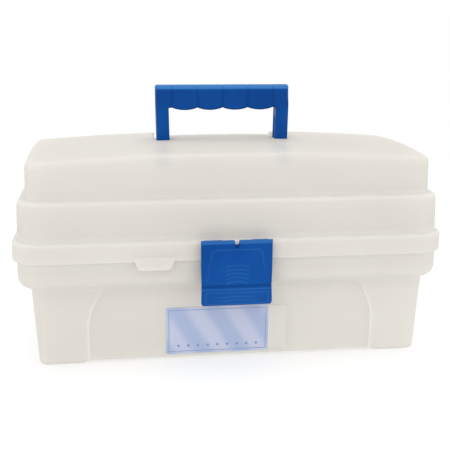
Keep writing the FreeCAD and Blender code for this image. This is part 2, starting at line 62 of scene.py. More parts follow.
def ringFaces(ringCount, pointCount, start):
    # quads between neighbouring rings of a tube whose rings are closed, and one cap on each end
    ring, point = np.meshgrid(np.arange(ringCount - 1), np.arange(pointCount), indexing="ij")
    after = (point + 1) % pointCount
    quads = np.stack([ring * pointCount + point, ring * pointCount + after,
                      (ring + 1) * pointCount + after, (ring + 1) * pointCount + point], axis=-1)
    firstCap = np.arange(pointCount)[::-1] + start
    lastCap = np.arange(pointCount) + (ringCount - 1) * pointCount + start
    return (quads.reshape(-1, 4) + start).tolist() + [firstCap.tolist(), lastCap.tolist()]


def fixNormals(mesh):
    # turns the faces of every closed tube outwards
    work = bmesh.new()
    work.from_mesh(mesh)
    bmesh.ops.recalc_face_normals(work, faces=work.faces)
    work.to_mesh(mesh)
    work.free()


def tubeObject(name, tubes, body, material, smoothAngle):
    # one mesh object from several closed tubes, each a pair of arrays: (ring, point, xyz) in millimetres, and
    # the painted shading of each point, above 0 for a painted highlight and below 0 for painted shade
    points = []
    faces = []
    paintedShadings = []
    start = 0
    for rings, paintedShading in tubes:
        ringCount, pointCount = rings.shape[:2]
        points.append(rings.reshape(-1, 3) * mm)
        paintedShadings.append(paintedShading.reshape(-1))
        faces += ringFaces(ringCount, pointCount, start)
        start += ringCount * pointCount
    mesh = bpy.data.meshes.new(name)
    mesh.from_pydata(np.concatenate(points).tolist(), [], faces)
    mesh.validate()
    fixNormals(mesh)
    mesh.shade_smooth()
    mesh.set_sharp_from_angle(angle=math.radians(smoothAngle))
    # the attribute carries the painted highlight and painted shade to the blue material
    layer = mesh.attributes.new("paintedShading", "FLOAT", "POINT")
    layer.data.foreach_set("value", np.concatenate(paintedShadings).astype(np.float32))
    mesh.materials.append(material)
    piece = addObject(name, mesh)
    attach(piece, body)
    return piece


def plain(rings):
    # a tube without painted highlight or shade
    return rings, np.zeros(rings.shape[:2])


def roundedLoop(halfA, halfB, radii, arcPoints):
    # closed loop of a rounded rectangle in (a, b): four quarter arcs, one radius for each corner, in the
    # order (+a,+b), (-a,+b), (-a,-b), (+a,-b); halfA, halfB and the radii are arrays along the rings
    signs = ((1, 1), (-1, 1), (-1, -1), (1, -1))
    loopA = []
    loopB = []
    for i, (signA, signB) in enumerate(signs):
        radius = radii[i]
        for angle in np.linspace(0, np.pi / 2, arcPoints) + i * np.pi / 2:
            loopA.append(signA * (halfA - radius) + radius * np.cos(angle))
            loopB.append(signB * (halfB - radius) + radius * np.sin(angle))
    return np.stack(loopA, axis=-1), np.stack(loopB, axis=-1)


def circleOutline(radius, axisY, axisZ, pointCount):
    angle = np.linspace(0, 2 * np.pi, pointCount, endpoint=False)
    return np.stack([axisY + radius * np.cos(angle), axisZ + radius * np.sin(angle)], axis=1)


def barTube(outlineYZ, xLow, xHigh, chamfer):
    # a closed (y, z) outline carried along x, the end rings drawn towards the outline's middle
    outline = np.array(outlineYZ, float)
    middle = outline.mean(axis=0)
    reach = np.abs(outline - middle).max()
    xs = np.array([xLow, xLow + chamfer, xHigh - chamfer, xHigh])
    scale = np.array([1 - chamfer / reach, 1, 1, 1 - chamfer / reach])
    yz = middle + (outline - middle)[None] * scale[:, None, None]
    x = np.repeat(xs[:, None], len(outline), axis=1)
    return np.concatenate([x[..., None], yz], axis=-1)


def newMaterial(name):
    material = bpy.data.materials.new(name)
    material.use_nodes = True
    tree = material.node_tree
    return material, tree, tree.nodes["Principled BSDF"]


def addNode(tree, kind, **values):
    made = tree.nodes.new(kind)
    for key, value in values.items():
        setattr(made, key, value)
    return made


def setInputs(made, values):
    for key, value in values.items():
        made.inputs[key].default_value = value


def objectCoords(tree):
    return addNode(tree, "ShaderNodeTexCoord").outputs["Object"]


def splitCoords(tree, coords):
    split = addNode(tree, "ShaderNodeSeparateXYZ")
    tree.links.new(coords, split.inputs[0])
    return split.outputs


noiseRoughness = 0.55
noiseLimits = (0.3, 0.7)  # the noise seldom leaves this range


def noiseValue(tree, coords, scale, detail=3.0):
    noise = addNode(tree, "ShaderNodeTexNoise")
    setInputs(noise, {"Scale": scale, "Detail": detail, "Roughness": noiseRoughness})
    tree.links.new(coords, noise.inputs["Vector"])
    return noise.outputs["Fac"]


def mapRange(tree, value, fromLow, fromHigh, toLow, toHigh, smooth=False):
    made = addNode(tree, "ShaderNodeMapRange")
    if smooth:
        made.interpolation_type = "SMOOTHSTEP"
    setInputs(made, {"From Min": fromLow, "From Max": fromHigh, "To Min": toLow, "To Max": toHigh})
    tree.links.new(value, made.inputs["Value"])
    return made.outputs["Result"]


def cloudRange(tree, coords, scale, low, high):
    # noise with its usual range spread from low to high
    return mapRange(tree, noiseValue(tree, coords, scale), *noiseLimits, low, high)


def fadeOut(tree, distance, width):
    # 1 at no distance, falling softly to 0 at the width
    return mapRange(tree, distance, 0.0, width, 1.0, 0.0, smooth=True)


def mathNode(tree, operation, first, second=0.0):
    made = addNode(tree, "ShaderNodeMath", operation=operation)
    for i, value in enumerate((first, second)):
        if isinstance(value, (int, float)):
            made.inputs[i].default_value = value
        else:
            tree.links.new(value, made.inputs[i])
    return made.outputs[0]


def offsetFrom(tree, value, level):
    # distance of a value from a level, never below 0
    return mathNode(tree, "ABSOLUTE", mathNode(tree, "SUBTRACT", value, level))


def hypotNode(tree, first, second):
    # root of the sum of two squares
    squares = [mathNode(tree, "MULTIPLY", leg, leg) for leg in (first, second)]
    return mathNode(tree, "SQRT", mathNode(tree, "ADD", *squares))


def largestOf(tree, values):
    largest = values[0]
    for value in values[1:]:
        largest = mathNode(tree, "MAXIMUM", largest, value)
    return largest


def vectorNode(tree, operation, first, second):
    made = addNode(tree, "ShaderNodeVectorMath", operation=operation)
    tree.links.new(first, made.inputs[0])
    made.inputs[1].default_value = second
    return made.outputs["Vector"]


def vectorLength(tree, vector):
    made = addNode(tree, "ShaderNodeVectorMath", operation="LENGTH")
    tree.links.new(vector, made.inputs[0])
    return made.outputs["Value"]


def mixColours(tree, share, first, second):
    # each colour is a tuple or the output of another node
    made = addNode(tree, "ShaderNodeMix", data_type="RGBA")
    tree.links.new(share, made.inputs["Factor"])
    for name, value in (("A", first), ("B", second)):
        socket = [s for s in made.inputs if s.name == name and s.type == "RGBA"][0]
        if isinstance(value, tuple):
            socket.default_value = (*value, 1.0)
        else:
            tree.links.new(value, socket)
    return [s for s in made.outputs if s.type == "RGBA"][0]


def grainBump(tree, shader, coords, scale, strength, distance):
    # fine moulded or fibrous grain
    bump = addNode(tree, "ShaderNodeBump")
    setInputs(bump, {"Strength": strength, "Distance": distance})
    tree.links.new(noiseValue(tree, coords, scale, 2.0), bump.inputs["Height"])
    tree.links.new(bump.outputs["Normal"], shader.inputs["Normal"])


def satinSurface(tree, shader, coords, look):
    # uneven gloss and fine grain of moulded plastic
    gloss = cloudRange(tree, coords, look["roughScale"], *look["roughness"])
    tree.links.new(gloss, shader.inputs["Roughness"])
    shader.inputs["Specular IOR Level"].default_value = look["specular"]
    grainBump(tree, shader, coords, *look["grain"])


def lineBands(tree, coords, levels, width):
    # 1 on thin level lines at the given heights, 0 away from them
    height = splitCoords(tree, coords)["Z"]
    return largestOf(tree, [fadeOut(tree, offsetFrom(tree, height, level), width) for level in levels])


def shadeSpots(tree, coords, spots):
    # 1 at the middle of each soft spot, falling to 0 on an ellipsoid with the given half axes
    masks = []
    for middle, halves in spots:
        # each spot is a painted bluish shade of a handle leg seen through the wall
        offset = vectorNode(tree, "SUBTRACT", coords, middle)
        masks.append(fadeOut(tree, vectorLength(tree, vectorNode(tree, "DIVIDE", offset, halves)), 1.0))
    return largestOf(tree, masks)


def archBand(tree, coords, arch):
    # 1 along the edge of a panel that runs straight up and then bends inwards on a circle: the distance from
    # the circle's middle is measured outwards, and upwards only above the height where the bend starts
    place = splitCoords(tree, coords)
    beside = mathNode(tree, "ABSOLUTE", place["X"])
    across = mathNode(tree, "MAXIMUM", mathNode(tree, "SUBTRACT", beside, arch["half"] - arch["radius"]), 0.0)
    up = mathNode(tree, "MAXIMUM", mathNode(tree, "SUBTRACT", place["Z"], arch["spring"]), 0.0)
    away = offsetFrom(tree, hypotNode(tree, across, up), arch["radius"])
    ending = mapRange(tree, place["Z"], *arch["fade"], 1.0, 0.0, smooth=True)
    return mathNode(tree, "MULTIPLY", fadeOut(tree, away, arch["width"]), ending)


frostedLook = {
    "shade": (0.925, 0.905, 0.865), "light": (0.945, 0.93, 0.895),
    "flowScale": 9.0, "flowDetail": 2.0, "flowLimits": (0.35, 0.65),
    # next line: the colour of the painted light that lifts the shade in inner corners, and the painted bluish shade
    # of the handle's legs seen through the wall
    "paintedLight": (1.0, 0.99, 0.97), "paintedLightShare": 0.9, "paintedLightWidth": 0.0045, "legShade": (0.45, 0.62, 0.72), "legShadeShare": 0.16,
    "roughness": (0.34, 0.46), "roughScale": 60.0, "specular": 0.2, "grain": (1400.0, 0.12, 0.0002),
}


def frostedMaterial(name, through, levels=(), arch=None, spots=()):
    # pale translucent plastic: slow flow clouds, fine grain, painted light in bands at the moulding's inner corners
    # and along the column arch to lift their shade, and a painted bluish shade where the blue legs show through; the
    # share called through passes the wall as soft light
    material, tree, shader = newMaterial(name)
    coords = objectCoords(tree)
    look = frostedLook
    clouds = noiseValue(tree, coords, look["flowScale"], look["flowDetail"])
    flow = mapRange(tree, clouds, *look["flowLimits"], 0.0, 1.0)
    colour = mixColours(tree, flow, look["shade"], look["light"])
    layers = []
    if levels:
        layers.append(("paintedLight", lineBands(tree, coords, levels, look["paintedLightWidth"])))
    if arch:
        layers.append(("paintedLight", archBand(tree, coords, arch)))
    if spots:
        layers.append(("legShade", shadeSpots(tree, coords, spots)))
    # painted light lifts the shade at the inner corners; a painted bluish shade marks where the handle's legs show
    # through
    for kind, mask in layers:
        share = mathNode(tree, "MULTIPLY", mask, look[kind + "Share"])
        colour = mixColours(tree, share, colour, look[kind])
    tree.links.new(colour, shader.inputs["Base Color"])
    satinSurface(tree, shader, coords, look)
    glow = addNode(tree, "ShaderNodeBsdfTranslucent")
    tree.links.new(colour, glow.inputs["Color"])
    wall = addNode(tree, "ShaderNodeMixShader")
    wall.inputs["Fac"].default_value = through
    tree.links.new(shader.outputs["BSDF"], wall.inputs[1])
    tree.links.new(glow.outputs["BSDF"], wall.inputs[2])
    tree.links.new(wall.outputs["Shader"], tree.nodes["Material Output"].inputs["Surface"])
    return material


blueLook = {
    "deep": (0.002, 0.058, 0.275), "bright": (0.004, 0.078, 0.335), "cloudScale": 22.0,
    # next line: the painted highlight colour and the painted shade colour
    "pale": (0.040, 0.180, 0.460), "paintedShade": (0.001, 0.028, 0.150),
    "roughness": (0.30, 0.42), "roughScale": 120.0, "specular": 0.06, "grain": (1800.0, 0.15, 0.00015),
}


def blueMaterial(name):
    # opaque blue plastic: faint flow marks, satin grain, and a painted highlight on edges and painted shade in
    # hollows where the attribute says so
    material, tree, shader = newMaterial(name)
    coords = objectCoords(tree)
    look = blueLook
    flow = cloudRange(tree, coords, look["cloudScale"], 0.0, 1.0)
    colour = mixColours(tree, flow, look["deep"], look["bright"])
    paintedShading = addNode(tree, "ShaderNodeAttribute", attribute_name="paintedShading").outputs["Fac"]
    # painted highlight above 0 and painted shade below 0
    colour = mixColours(tree, mapRange(tree, paintedShading, 0.0, 1.0, 0.0, 1.0), colour, look["pale"])
    colour = mixColours(tree, mapRange(tree, paintedShading, -1.0, 0.0, 1.0, 0.0), colour, look["paintedShade"])
    tree.links.new(colour, shader.inputs["Base Color"])
    satinSurface(tree, shader, coords, look)
    return material


armLook = {
    "cloudScale": 35.0, "roughness": (0.32, 0.45), "roughScale": 150.0, "specular": 0.5,
    "grain": (1600.0, 0.12, 0.0002),
}


def plainPlastic(name, shade, light):
    # natural plastic of the arms and rivets
    material, tree, shader = newMaterial(name)
    coords = objectCoords(tree)
    flow = cloudRange(tree, coords, armLook["cloudScale"], 0.0, 1.0)
    tree.links.new(mixColours(tree, flow, shade, light), shader.inputs["Base Color"])
    satinSurface(tree, shader, coords, armLook)
    return material


steelLook = {
    "stretch": (60.0, 3000.0, 3000.0), "detail": 2.0, "shade": (0.42, 0.42, 0.43), "light": (0.68, 0.68, 0.69),
    "roughness": (0.24, 0.4),
}


def steelMaterial(name):
    # drawn wire: brightness streaks along x
    material, tree, shader = newMaterial(name)
    stretch = addNode(tree, "ShaderNodeMapping")
    stretch.inputs["Scale"].default_value = steelLook["stretch"]
    tree.links.new(objectCoords(tree), stretch.inputs["Vector"])
    streak = noiseValue(tree, stretch.outputs["Vector"], 1.0, steelLook["detail"])
    colour = mixColours(tree, streak, steelLook["shade"], steelLook["light"])
    gloss = mapRange(tree, streak, *noiseLimits, *steelLook["roughness"])
    tree.links.new(colour, shader.inputs["Base Color"])
    tree.links.new(gloss, shader.inputs["Roughness"])
    shader.inputs["Metallic"].default_value = 1.0
    return material


labelLook = {
    "field": (0.49, 0.53, 0.68), "band": (0.36, 0.43, 0.63), "line": (0.19, 0.27, 0.50),
    "middle": (-0.0124, 0.0254), "half": (0.043, 0.0206), "bandPitch": 0.027, "bandTurn": 32.0, "bandSoft": 0.9,
    "border": 0.0022, "borderWidth": 0.0006,
    "dotPitch": 0.0082, "dotRadius": 0.0014, "dotCore": 0.7, "dotLevel": 0.0118, "dotReach": 0.0369,
    "roughness": 0.38, "film": 0.25, "grain": (700.0, 0.08, 0.0001),
}


def stickerMaterial(name):
    # lavender paper under a gloss film: soft slanting bands from a wave across the slope, a thin frame line at an
    # even distance from the edge, and a row of dots from the distance to the nearest point of a level row
    material, tree, shader = newMaterial(name)
    coords = objectCoords(tree)
    look = labelLook
    place = splitCoords(tree, coords)
    x = mathNode(tree, "SUBTRACT", place["X"], look["middle"][0])
    z = mathNode(tree, "SUBTRACT", place["Z"], look["middle"][1])
    besideX = mathNode(tree, "ABSOLUTE", x)
    besideZ = mathNode(tree, "ABSOLUTE", z)
    turn = math.radians(look["bandTurn"])
    across = mathNode(tree, "ADD", mathNode(tree, "MULTIPLY", x, math.cos(turn)),
                      mathNode(tree, "MULTIPLY", z, math.sin(turn)))
    wave = mathNode(tree, "SINE", mathNode(tree, "MULTIPLY", across, 2 * math.pi / look["bandPitch"]))
    band = mapRange(tree, wave, -look["bandSoft"], look["bandSoft"], 0.0, 1.0, smooth=True)
    colour = mixColours(tree, band, look["field"], look["band"])
    toEdge = mathNode(tree, "MINIMUM", mathNode(tree, "SUBTRACT", look["half"][0], besideX),
                      mathNode(tree, "SUBTRACT", look["half"][1], besideZ))
    frameLine = fadeOut(tree, offsetFrom(tree, toEdge, look["border"]), look["borderWidth"])
    cell = mathNode(tree, "PINGPONG", x, look["dotPitch"] / 2)
    rise = mathNode(tree, "SUBTRACT", place["Z"], look["dotLevel"])
    radius = look["dotRadius"]
    dots = mapRange(tree, hypotNode(tree, cell, rise), radius * look["dotCore"], radius, 1.0, 0.0, smooth=True)
    dots = mathNode(tree, "MULTIPLY", dots, mathNode(tree, "LESS_THAN", besideX, look["dotReach"]))
    colour = mixColours(tree, mathNode(tree, "MAXIMUM", frameLine, dots), colour, look["line"])
    tree.links.new(colour, shader.inputs["Base Color"])
    setInputs(shader, {"Roughness": look["roughness"], "Coat Weight": look["film"]})
    grainBump(tree, shader, coords, *look["grain"])
    return material


stripLook = {"shade": (0.665, 0.64, 0.595), "light": (0.695, 0.67, 0.625), "fibreScale": 500.0, "roughness": 0.45}


def stripMaterial(name):
    # plain paper strip, nearly the colour of the plastic
    material, tree, shader = newMaterial(name)
    coords = objectCoords(tree)
    fibre = cloudRange(tree, coords, stripLook["fibreScale"], 0.0, 1.0)
    tree.links.new(mixColours(tree, fibre, stripLook["shade"], stripLook["light"]), shader.inputs["Base Color"])
    shader.inputs["Roughness"].default_value = stripLook["roughness"]
    grainBump(tree, shader, coords, *labelLook["grain"])
    return material


wallThrough = 0.5
dividerThrough = 0.6
tubLevels = (0.0665, 0.0885)  # heights of the painted light lines that lift the shade under the shoulder and under the flange
lidLevels = (0.1075, 0.1395)  # painted light lifting the shade at the feet of the middle and the upper band
# painted light along the arched edge of the column panels, lifting the shade in its step
columnArch = {"half": 0.1185, "radius": 0.05, "spring": 0.03, "width": 0.0028, "fade": (0.05, 0.064)}
legShadeSpots = (  # middle and half axes of the spots of painted bluish shade where the handle's legs show through the wall
    ((-0.0555, -0.052, 0.174), (0.011, 0.022, 0.03)), ((-0.0560, -0.0765, 0.170), (0.012, 0.010, 0.010)),
    ((0.0425, -0.052, 0.174), (0.011, 0.022, 0.03)), ((0.0400, -0.0765, 0.170), (0.012, 0.010, 0.010)),
)
finishes = {
    "tub": frostedMaterial("frosted_tub", wallThrough, tubLevels, arch=columnArch),
    "lid": frostedMaterial("frosted_lid", wallThrough, lidLevels, spots=legShadeSpots),
    "tray": frostedMaterial("frosted_tray", wallThrough),
    "divider": frostedMaterial("frosted_divider", dividerThrough),
    "arm": plainPlastic("arm_plastic", (0.72, 0.715, 0.69), (0.78, 0.775, 0.75)),
    "rivet": plainPlastic("rivet_plastic", (0.80, 0.795, 0.78), (0.86, 0.855, 0.84)),
    "blue": blueMaterial("blue_plastic"),
    "steel": steelMaterial("pin_steel"),
    "sticker": stickerMaterial("sticker_paper"),
    "strip": stripMaterial("strip_paper"),
}
finishWords = (  # the first word found in a node's name decides
    ("rivet", "rivet"), ("divider", "divider"), ("arm", "arm"), ("pin", "steel"), ("tray", "tray"),
    ("tub", "tub"), ("shell", "lid"), ("strip", "strip"), ("label", "sticker"), ("handle", "blue"), ("latch", "blue"),
)


def finishOf(name):
    words = name.split("_")
    return [finish for word, finish in finishWords if word in words][0]


for name, node in nodes.items():
    node.data.materials.clear()
    node.data.materials.append(finishes[finishOf(name)])
print("materials set on", len(nodes), "nodes")


handle = {
    "outerHalf": 58.2, "innerHalf": 47.2, "halfDepth": 7.0, "topZ": 223.5, "cuspZ": 204.0, "axisZ": 160.0,
    "legLean": 1.2, "cornerRound": 2.0, "innerRound": 1.0, "footAngle": 0.06, "leastDepth": 0.4,
    "lobes": 4, "lobePitch": 21.9, "lobeDepth": 2.0, "gripStart": (4.0, 7.0),
    "topRound": 5.8, "lowRound": 1.6, "legRound": 0.9, "roundFrom": 0.25, "roundLimit": 0.95,
    "grooveDepth": 0.35, "grooveWidth": 0.8,
    "channelDepth": 1.4, "channelHalf": 3.6, "channelSide": (-0.8, 0.4), "channelFade": 6.0,
    "pinRadius": 4.0, "pinEnd": 60.9, "pinRoot": 8.0, "pinChamfer": 0.4, "pinPoints": 40,
    "topBand": 3.6, "topSoft": 0.8, "lowBand": 1.2, "lowSoft": 0.5, "gripFade": (-4.0, 6.0),
    # painted shading: painted shade on the grip, its lower edge and the grooves, a painted highlight on the top band
    # and in the leg channels
    "gripPaintedShade": -0.3, "topPaintedHighlight": 0.9, "groovePaintedShade": -0.3, "lowPaintedShade": -0.4, "channelPaintedLight": 0.8,
    "footSteps": 9, "legSteps": 14, "cornerSteps": 8, "lobeSteps": 24, "acrossSteps": 13, "arcPoints": 7,
    "smoothAngle": 40.0,
}


def handleRails():
    # outer and inner edge of the bow in (x, z), from the foot of the left leg over the grip to the right one;
    # the legs lean in towards their feet, and the grip's inner edge hangs in one parabola for each finger
    h = handle
    footZ = h["axisZ"] - h["halfDepth"] * np.cos(np.linspace(h["footAngle"], np.pi / 2, h["footSteps"]))
    legZ = np.linspace(h["axisZ"], h["cuspZ"] - h["innerRound"], h["legSteps"])[1:]
    risingZ = np.concatenate([footZ, legZ])
    lean = h["legLean"] * (h["topZ"] - risingZ) / (h["topZ"] - h["axisZ"])
    legOuter = np.stack([-h["outerHalf"] + lean, risingZ], axis=1)
    legInner = np.stack([-h["innerHalf"] + lean, risingZ], axis=1)

    leanTop = lean[-1]
    turn = np.linspace(0, np.pi / 2, h["cornerSteps"])[1:]
    bendX = -h["outerHalf"] + h["cornerRound"]
    bendZ = h["topZ"] - h["cornerRound"]
    upZ = np.linspace(h["cuspZ"], bendZ, h["cornerSteps"])
    up = np.stack([-h["outerHalf"] + leanTop * (bendZ - upZ) / (bendZ - legZ[-1]), upZ], axis=1)
    bend = np.stack([bendX - h["cornerRound"] * np.cos(turn), bendZ + h["cornerRound"] * np.sin(turn)], axis=1)
    acrossX = np.linspace(bendX, -h["innerHalf"], h["cornerSteps"])[1:]
    across = np.stack([acrossX, np.full_like(acrossX, h["topZ"])], axis=1)
    cornerOuter = np.concatenate([up, bend, across])
    swing = np.linspace(0, np.pi / 2, len(cornerOuter) + 1)[1:]
    innerX = -h["innerHalf"] + leanTop * (1 - swing / (np.pi / 2)) + h["innerRound"] * (1 - np.cos(swing))
    innerZ = h["cuspZ"] - h["innerRound"] + h["innerRound"] * np.sin(swing)
    cornerInner = np.stack([innerX, innerZ], axis=1)

    gripEnd = h["innerHalf"] - h["innerRound"]
    gripX = np.linspace(-gripEnd, gripEnd, h["lobeSteps"] * h["lobes"] + 1)[1:-1]
    finger = np.clip(gripX / h["lobePitch"] + h["lobes"] / 2, 0.0, h["lobes"])
    share = finger - np.floor(finger)
    gripOuter = np.stack([gripX, np.full_like(gripX, h["topZ"])], axis=1)
    gripInner = np.stack([gripX, h["cuspZ"] - h["lobeDepth"] * 4 * share * (1 - share)], axis=1)

    mirror = np.array([-1.0, 1.0])
    rails = []
    for leg, corner, grip in ((legOuter, cornerOuter, gripOuter), (legInner, cornerInner, gripInner)):
        left = np.concatenate([leg, corner])
        rails.append(np.concatenate([left, grip, left[::-1] * mirror]))
    return rails


def handleTube():
    # at each station a rounded rectangle between the two rails; its outer edges swell to a full round on the grip,
    # its depth closes as a half circle below the axis, shallow grooves run round the grip between the fingers, and
    # a channel is sunk into the inner face of each leg
    h = handle
    outerRail, innerRail = handleRails()
    middle = (outerRail + innerRail) / 2
    middleX, middleZ = middle.T
    span = innerRail - outerRail
    halfSpan = np.linalg.norm(span, axis=1) / 2
    direction = span / (2 * halfSpan[:, None])
    onGrip = smoothStep(*h["gripStart"], middleZ - h["cuspZ"])
    below = np.clip(h["axisZ"] - middleZ, 0.0, h["halfDepth"])
    halfDepth = np.sqrt(np.maximum(h["halfDepth"] ** 2 - below ** 2, h["leastDepth"] ** 2))
    marks = h["lobePitch"] * (np.arange(h["lobes"] + 1) - h["lobes"] / 2)
    nearest = np.abs(middleX[:, None] - marks[None]).min(axis=1)
    groove = np.exp(-(nearest / h["grooveWidth"]) ** 2) * onGrip
    halfDepth = halfDepth - h["grooveDepth"] * groove
    half = halfSpan - h["grooveDepth"] * groove / 2

    upright = smoothStep(h["roundFrom"], 1.0, np.abs(direction[:, 1]))
    largest = halfDepth * h["roundLimit"]
    outerRadius = np.minimum(h["legRound"] + (h["topRound"] - h["legRound"]) * upright, largest)
    innerRadius = np.minimum(h["legRound"] + (h["lowRound"] - h["legRound"]) * onGrip, largest)
    a, b = roundedLoop(half, halfDepth, (innerRadius, outerRadius, outerRadius, innerRadius), h["arcPoints"])

    onLeg = smoothStep(h["axisZ"], h["axisZ"] + h["channelFade"], middleZ)
    onLeg = onLeg * (1 - smoothStep(h["cuspZ"] - 2 * h["channelFade"], h["cuspZ"] - h["channelFade"], middleZ))
    innerB = np.linspace(-1, 1, h["acrossSteps"])[None, 1:-1] * (halfDepth - innerRadius)[:, None]
    sunk = onLeg[:, None] * (1 - smoothStep(*h["channelSide"], np.abs(innerB) - h["channelHalf"]))
    lowEdge = stepAt(-h["lowBand"], h["lowSoft"], a - half[:, None]) * onGrip[:, None]
    lowEdge = np.concatenate([lowEdge, np.repeat(onGrip[:, None], innerB.shape[1], axis=1)], axis=1)
    channel = np.concatenate([np.zeros_like(a), sunk], axis=1)
    a = np.concatenate([a, half[:, None] - h["channelDepth"] * sunk], axis=1)
    b = np.concatenate([b, innerB], axis=1)
    x = middle[:, :1] + a * direction[:, :1]
    z = middle[:, 1:] + a * direction[:, 1:]

    # painted shading: painted shade on the grip's front, its lower edge and the grooves, a painted highlight on the
    # top band and in the leg channels
    grip = smoothStep(*h["gripFade"], z - h["cuspZ"])
    band = stepAt(h["topZ"] - h["topBand"], h["topSoft"], z)
    paintedShading = (h["gripPaintedShade"] * grip * (1 - band) + h["topPaintedHighlight"] * band + h["lowPaintedShade"] * lowEdge
            + h["groovePaintedShade"] * groove[:, None] + h["channelPaintedLight"] * channel)
    return np.stack([x, b, z], axis=-1), np.clip(paintedShading, -1.0, 1.0)


def trunnionTube(sign):
    h = handle
    low, high = sorted((sign * (h["outerHalf"] - h["pinRoot"]), sign * h["pinEnd"]))
    circle = circleOutline(h["pinRadius"], 0.0, h["axisZ"], h["pinPoints"])
    return plain(barTube(circle, low, high, h["pinChamfer"]))


handlePiece = tubeObject("handle_bow", [handleTube(), trunnionTube(-1), trunnionTube(1)], "handle",
                         finishes["blue"], handle["smoothAngle"])
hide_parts("carry_handle")
print("handle made")


latch = {
    "half": 28.7, "backY": -94.0, "frontY": -95.7, "topZ": 108.0, "lowZ": 54.4,
    "edgeRound": 0.9, "topRound": 1.5, "lowCorner": 2.3, "waist": 0.4, "waistZ": 71.0, "waistReach": 9.0,
    "notchTop": 2.05, "notchLow": 1.25, "notchDepth": 3.9,
    "slotHalf": 1.2, "slotLow": 101.5, "slotHigh": 104.6, "slotSoft": 0.3, "bandZ": 105.2, "bandSoft": 0.4,
    "frameTop": 100.4, "frameLow": 73.0, "frameTopHalf": 19.6, "frameLowHalf": 24.6, "frameCorner": 3.0,
    "frameLeast": 0.35,  # share of the frame line's height that is left at its lower end
    "arcs": ((87.6, 1.0), (84.2, 1.4), (81.0, 1.8), (77.8, 2.2), (74.5, 2.6)),  # height and sag of each
    "arcHalf": 9.3, "arcSoft": 1.0, "dipZ": 70.2, "dipReach": 1.3, "creaseZ": 67.9,
    "panelZ": 66.8, "panelSoft": 0.7, "panelTop": 65.2, "panelLow": 56.0, "panelHalf": 25.4, "panelCorner": 2.4,
    "waves": (61.6, 58.7), "waveSwing": 0.35, "waveLength": 24.0, "waveFade": (22.0, 10.0), "bead": 0.65,
    "rise": {"band": 0.35, "frame": 0.42, "arcs": 0.4, "slot": -0.5, "dip": -0.7, "crease": 0.35, "panel": 0.45,
             "panelFrame": 0.4, "waves": 0.38},
    # painted shading of each form: painted highlights on the rolled band, frame, arcs, crease, panel and waves,
    # painted shade in the slot and the dip
    "paintedShading": {"band": 0.55, "frame": 0.22, "arcs": 0.25, "slot": -0.8, "dip": -0.4, "crease": 0.4, "panel": 0.05,
             "panelFrame": 0.22, "waves": 0.28},
    "axisY": -91.5, "axisZ": 105.5, "knuckle": 2.1, "earInner": 11.9, "earWidth": 14.0, "earChamfer": 0.25,
    "root": 0.5, "hookHalf": 18.0, "hookY": -87.0, "hookLow": 55.0, "hookHigh": 57.5, "hookRound": 0.6,
    "hookChamfer": 0.3,
    "columns": ((-1.0, -0.94, 9), (-0.94, -0.1, 69), (-0.1, 0.1, 40), (0.1, 0.94, 69), (0.94, 1.0, 9)),
    "frontSteps": 170, "turnSteps": 6, "backSteps": 12, "earSteps": 20, "smoothAngle": 50.0,
}


def ridgeLine(distance, width):
    # rounded bead across a line, from the distance to that line
    return np.exp(-(distance / width) ** 2)


def trapezoidDistance(x, z, lowZ, highZ, lowHalf, highHalf, corner):
    # distance to the outline of a rounded trapezoid that is upright and symmetric about x = 0
    middle = (lowZ + highZ) / 2
    halfHeight = (highZ - lowZ) / 2
    lean = (lowHalf - highHalf) / (highZ - lowZ)
    halfWidth = (lowHalf + highHalf) / 2 - lean * (z - middle)
    px = (np.abs(x) - halfWidth) / math.hypot(1.0, lean) + corner
    pz = np.abs(z - middle) - halfHeight + corner
    outside = np.hypot(np.maximum(px, 0), np.maximum(pz, 0))
    return np.abs(outside + np.minimum(np.maximum(px, pz), 0) - corner)


def latchRelief(x, z):
    # how far the front stands out of its plane and how much painted highlight or shade it carries, each a weighted
    # sum of the forms:
    # rolled top band, frame line, finger arcs, slot, dip and crease line, then the lower panel with its frame and two
    # waves
    k = latch
    bead = k["bead"]
    beside = np.abs(x)
    frameAway = trapezoidDistance(x, z, k["frameLow"], k["frameTop"], k["frameLowHalf"], k["frameTopHalf"],
                                  k["frameCorner"])
    frameShare = k["frameLeast"] + (1 - k["frameLeast"]) * smoothStep(k["frameLow"], k["frameTop"], z)
    panelAway = trapezoidDistance(x, z, k["panelLow"], k["panelTop"], k["panelHalf"], k["panelHalf"],
                                  k["panelCorner"])
    arcs = sum(ridgeLine(z - level + sag * (x / k["arcHalf"]) ** 2, bead) for level, sag in k["arcs"])
    swing = k["waveSwing"] * np.cos(2 * np.pi * x / k["waveLength"])
    waves = sum(ridgeLine(z - level - swing, bead) for level in k["waves"])
    slot = stepAt(k["slotLow"], k["slotSoft"], z) * stepAt(k["slotHigh"], -k["slotSoft"], z)
    forms = {
        "band": stepAt(k["bandZ"], k["bandSoft"], z),
        "frame": ridgeLine(frameAway, bead) * frameShare,
        "arcs": arcs * stepAt(k["arcHalf"], -k["arcSoft"], beside),
        "slot": slot * stepAt(k["slotHalf"], -k["slotSoft"], beside),
        "dip": ridgeLine(z - k["dipZ"], k["dipReach"]),
        "crease": ridgeLine(z - k["creaseZ"], bead),
        "panel": stepAt(k["panelZ"], -k["panelSoft"], z),
        "panelFrame": ridgeLine(panelAway, bead),
        "waves": waves * smoothStep(*k["waveFade"], beside),
    }
    relief = sum(k["rise"][key] * form for key, form in forms.items())
    paintedShading = sum(k["paintedShading"][key] * form for key, form in forms.items())
    return relief, np.clip(paintedShading, -1.0, 1.0)


